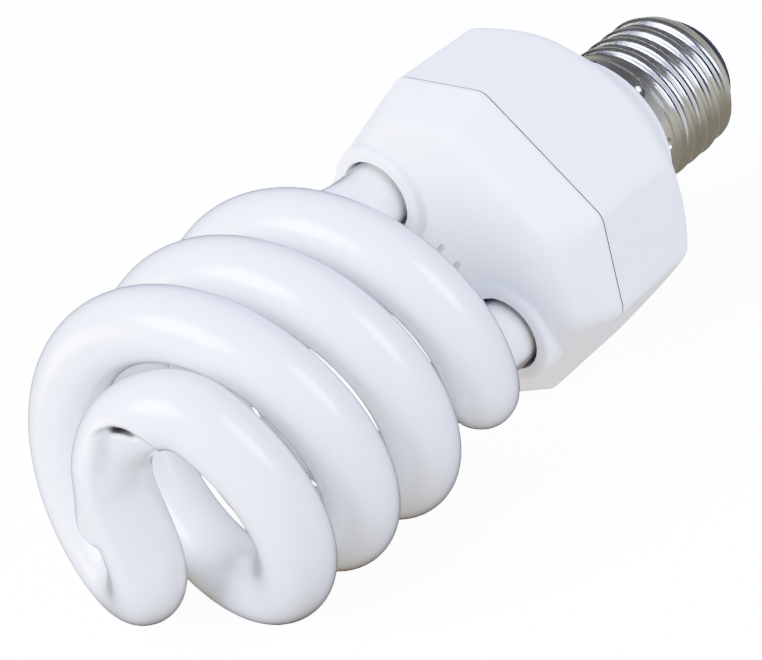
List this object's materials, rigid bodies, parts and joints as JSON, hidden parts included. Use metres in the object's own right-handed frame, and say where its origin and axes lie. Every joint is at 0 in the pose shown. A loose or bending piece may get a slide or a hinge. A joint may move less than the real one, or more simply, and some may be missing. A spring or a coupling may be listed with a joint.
{
  "type": "compact fluorescent bulb",
  "caption": "Spiral compact fluorescent bulb: double-helix glass tube on a white octagonal ballast housing with a round-threaded screw cap.",
  "frame": {"origin": "middle of the centre contact's outer face, at the end of the screw cap", "axes": "+X along the lamp's axis from the cap to the tip of the spiral; the lamp lies on its side with a short side of the housing facing -Z"},
  "size_m": [0.1503, 0.0588, 0.0588],
  "materials": {
    "phosphor_glass": "glossy glass with a white phosphor coat inside",
    "white_plastic": "satin moulded white",
    "nickel_plate": "polished nickel plate",
    "black_glass": "glossy black",
    "tinned_brass": "dull tin",
    "cement": "matte off-white",
    "board_laminate": "matte tan laminate",
    "capacitor_sleeve": "shrunk dark sleeve",
    "ferrite": "matte dark grey ceramic",
    "copper_winding": "lacquered copper",
    "moulded_black": "matte moulded black",
    "film_coating": "dipped red-brown",
    "resistor_body": "glossy beige lacquer",
    "diode_glass": "glossy blue",
    "wire_sleeve": "white insulation",
    "lead_wire": "bare drawn wire"
  },
  "bodies": {
    "root": {"cap_insulator": "black_glass", "centre_contact": "tinned_brass", "choke_core": "ferrite", "choke_winding": "copper_winding", "circuit_board": "board_laminate", "coupling_capacitor": "film_coating", "diode_1": "moulded_black", "diode_2": "moulded_black", "diode_3": "moulded_black", "diode_4": "moulded_black", "feedback_toroid": "ferrite", "filter_choke": "ferrite", "front_cover": "white_plastic", "fusible_resistor": "resistor_body", "lamp_lead_1": "lead_wire", "lamp_lead_2": "lead_wire", "lamp_lead_3": "lead_wire", "lamp_lead_4": "lead_wire", "live_wire": "wire_sleeve", "neutral_wire": "wire_sleeve", "rear_cover": "white_plastic", "resistor_1": "resistor_body", "resistor_2": "resistor_body", "resistor_3": "resistor_body", "resistor_4": "resistor_body", "resonance_capacitor": "film_coating", "screw_shell": "nickel_plate", "smoothing_capacitor": "capacitor_sleeve", "spiral_tube": "phosphor_glass", "transistor_1": "moulded_black", "transistor_2": "moulded_black", "trigger_diode": "diode_glass", "tube_cement_1": "cement", "tube_cement_2": "cement", "wire_post_1": "tinned_brass", "wire_post_2": "tinned_brass", "wire_post_3": "tinned_brass", "wire_post_4": "tinned_brass"}
  },
  "joints": []
}
